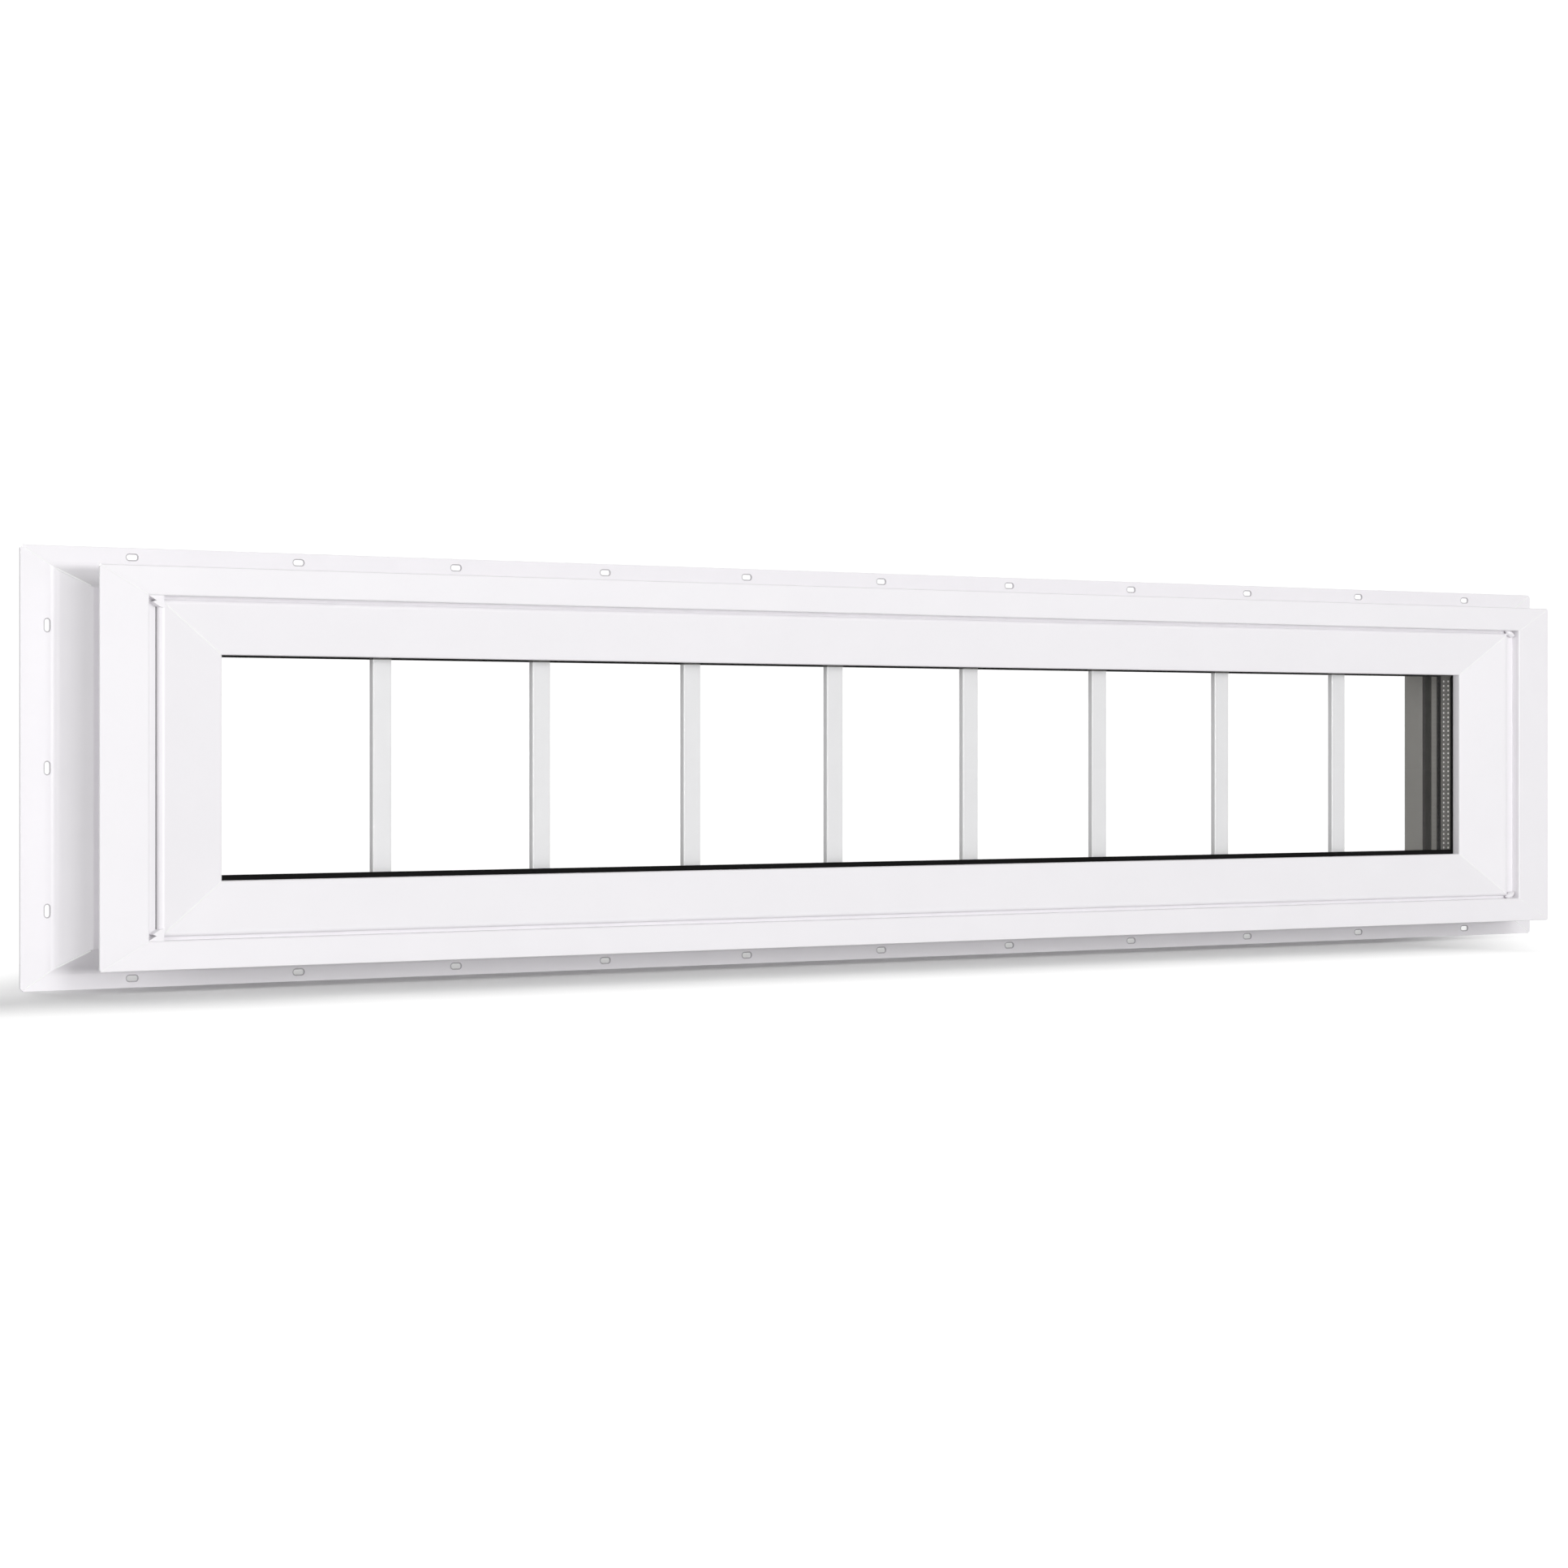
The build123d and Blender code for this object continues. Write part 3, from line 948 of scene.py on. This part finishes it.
@dataclass
class CornerFlash:
    """Trimmed weld flash left in the groove, in millimetres.

    It is saw-toothed at the left corners and a round bead at the right ones.
    """

    finishes: Finishes
    corner: Inset = Inset(79.0, 38.5)
    floor_depth: float = 51.0
    top_depth: float = 58.2
    teeth: tuple[tuple[float, float], ...] = (
        (-0.4, -0.4), (0.6, 0.4), (4.0, 2.2), (7.0, 3.8), (3.8, 4.8), (9.6, 8.4), (13.4, 9.2),
        (13.2, -0.4))
    bead_centre: Inset = Inset(86.0, 41.6)
    bead_depth: float = 54.0
    bead_radii: tuple[float, float, float] = (6.2, 3.4, 2.6)
    bead_tilt: float = 24.0
    bead_fineness: int = 3
    long_ripple: tuple[float, float] = (0.12, 5.0)
    short_ripple: tuple[float, float] = (0.1, 7.0)

    def teeth_mesh(self) -> bpy.types.Mesh:
        """Build the toothed flash of the two left corners.

        Returns:
            The mesh.
        """
        build = bmesh.new()
        for upper in (True, False):
            rims = []
            for depth in (self.top_depth, self.floor_depth):
                insets = [Inset(self.corner.jamb + across, self.corner.head + down)
                          for across, down in self.teeth]
                rims.append([build.verts.new(inset.corner(False, upper, depth))
                             for inset in insets])
            build.faces.new(rims[0])
            build.faces.new(list(reversed(rims[1])))
            count = len(self.teeth)
            for i in range(count):
                j = (i + 1) % count
                build.faces.new((rims[0][j], rims[0][i], rims[1][i], rims[1][j]))
        return as_mesh(build, "corner_teeth")

    def bead_point(self, ball: Vector, tilt: float) -> Vector:
        """Press a point of a ball into the rippled, tilted form of the weld bead.

        Args:
            ball: The point on a ball with a radius of one.
            tilt: Tilt of the bead in radians.

        Returns:
            The point, seen from the bead's centre, in millimetres.
        """
        long_depth, long_pace = self.long_ripple
        short_depth, short_pace = self.short_ripple
        a = ball.x * self.bead_radii[0] * (1 + long_depth * math.sin(long_pace * ball.z))
        b = ball.y * self.bead_radii[1]
        c = ball.z * self.bead_radii[2] * (1 + short_depth * math.sin(short_pace * ball.x))
        return Vector((a * math.cos(tilt) - c * math.sin(tilt), b,
                       a * math.sin(tilt) + c * math.cos(tilt)))

    def bead_mesh(self) -> bpy.types.Mesh:
        """Build the round weld beads of the two right corners.

        Returns:
            The mesh.
        """
        build = bmesh.new()
        for upper in (True, False):
            made = bmesh.ops.create_icosphere(build, subdivisions=self.bead_fineness, radius=1.0)
            tilt = math.radians(-self.bead_tilt if upper else self.bead_tilt)
            centre = self.bead_centre.corner(True, upper, self.bead_depth)
            for vertex in made["verts"]:
                vertex.co = centre + self.bead_point(vertex.co, tilt) * MM
        for face in build.faces:
            face.smooth = True
        return as_mesh(build, "corner_beads")

    def build(self) -> list[bpy.types.Object]:
        """Build the flash at all four corners."""
        return [place(self.teeth_mesh(), "corner_teeth", self.finishes.vinyl),
                place(self.bead_mesh(), "corner_beads", self.finishes.vinyl)]


@dataclass(frozen=True)
class SoftLamp:
    """One rectangular soft lamp, in metres and watts."""

    name: str
    where: tuple[float, float, float]
    at: tuple[float, float, float]
    size: tuple[float, float]
    watts: float

    def hang(self) -> None:
        """Hang the lamp and turn it to the point that it lights."""
        data = bpy.data.lights.new(self.name, "AREA")
        data.shape = "RECTANGLE"
        data.size, data.size_y = self.size
        data.energy = self.watts
        lamp = bpy.data.objects.new(self.name, data)
        lamp.location = self.where
        facing = Vector(self.at) - Vector(self.where)
        lamp.rotation_euler = facing.to_track_quat("-Z", "Y").to_euler()
        bpy.context.scene.collection.objects.link(lamp)


# Broad even light on the seen face.
FRONT_LAMP = SoftLamp("front_lamp", (-0.3, -8.0, 2.0), (0.0, 0.0, 0.15), (3.0, 3.0), 144.0)
# Level light from a low card, which lifts the sill side.
LOW_CARD = SoftLamp("low_card", (-0.3, -7.0, 0.32), (0.0, 0.0, 0.15), (3.5, 0.6), 122.0)
# Side light that reaches the fin and the splay at the left end and shades one groove wall.
LEFT_CARD = SoftLamp("left_card", (-8.5, -4.5, 1.5), (0.0, 0.0, 0.15), (2.5, 2.5), 130.0)
# Light from behind that throws the soft shadow towards the viewer.
BACK_LAMP = SoftLamp("back_lamp", (0.3, 6.0, 3.0), (0.0, 0.0, 0.1), (3.0, 2.0), 170.0)


@dataclass
class Studio:
    """Floor, lamps, white surround and the camera at the photograph's angle."""

    yaw_degrees: float = 37.15
    focal_pixels: float = 5000.0
    horizon_pixel: float = 926.5
    eye_mm: tuple[float, float, float] = (-2232.9, -2806.7, 156.8)
    sensor_mm: float = 36.0
    clip_reach: tuple[float, float] = (0.05, 100.0)
    floor_reach: float = 30.0
    sky_strength: float = 0.4
    lamps: tuple[SoftLamp, ...] = (FRONT_LAMP, LOW_CARD, LEFT_CARD, BACK_LAMP)

    def camera(self) -> None:
        """Set up the camera."""
        data = bpy.data.cameras.new("view_camera")
        data.sensor_width = self.sensor_mm
        data.lens = self.focal_pixels / PHOTO_PIXELS * self.sensor_mm
        data.shift_y = (self.horizon_pixel - PHOTO_PIXELS / 2) / PHOTO_PIXELS
        data.clip_start, data.clip_end = self.clip_reach
        camera = bpy.data.objects.new("view_camera", data)
        camera.location = [value * MM for value in self.eye_mm]
        camera.rotation_euler = (math.radians(90), 0.0, -math.radians(self.yaw_degrees))
        bpy.context.scene.collection.objects.link(camera)
        bpy.context.scene.camera = camera

    def floor(self, height: float) -> None:
        """Lay the floor.

        Args:
            height: Height of the floor in metres.
        """
        mesh = bpy.data.meshes.new("floor")
        far = self.floor_reach
        corners = [(-far, -far, 0.0), (far, -far, 0.0), (far, far, 0.0), (-far, far, 0.0)]
        mesh.from_pydata(corners, [], [(0, 1, 2, 3)])
        mesh.materials.append(StudioFloor().build())
        floor = bpy.data.objects.new("floor", mesh)
        floor.location.z = height
        bpy.context.scene.collection.objects.link(floor)
        floor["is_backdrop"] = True

    def surround(self) -> None:
        """Light the surround evenly and show it white."""
        world = bpy.data.worlds.new("surround")
        bpy.context.scene.world = world
        world.use_nodes = True
        tree = world.node_tree
        tree.nodes.clear()
        soft, white = (add_node(tree, "ShaderNodeBackground",
                                {"Color": (1.0, 1.0, 1.0, 1.0), "Strength": strength})
                       for strength in (self.sky_strength, PAPER_WHITE))
        both = add_node(tree, "ShaderNodeMixShader",
                        links={0: seen_by_eye(tree), 1: soft.outputs["Background"],
                               2: white.outputs["Background"]})
        add_node(tree, "ShaderNodeOutputWorld", links={"Surface": both.outputs["Shader"]})

    def build(self, floor_height: float) -> None:
        """Build the whole studio.

        Args:
            floor_height: Height of the floor in metres.
        """
        bpy.context.scene.view_settings.view_transform = "Standard"
        self.camera()
        self.floor(floor_height)
        self.surround()
        for lamp in self.lamps:
            lamp.hang()


def main() -> None:
    """Build the window's looks in order."""
    logging.basicConfig(level=logging.INFO, format="%(name)s: %(message)s")
    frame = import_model()
    cad_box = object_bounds()
    finishes = Finishes()
    PackedPieces(frame["nodes"], finishes).dress()
    pieces = Perforations(finishes).build() + BeadSeal(finishes).build()
    pieces += [WeldLines(finishes).build(), JointLine(finishes).build(),
               SlotRims(finishes).build()]
    pieces += CornerFlash(finishes).build()
    for piece in pieces:
        LOG.info("piece %s: %d faces", piece.name, len(piece.data.polygons))
    Studio().build(cad_box[0][2])


if __name__ == "__main__":
    main()
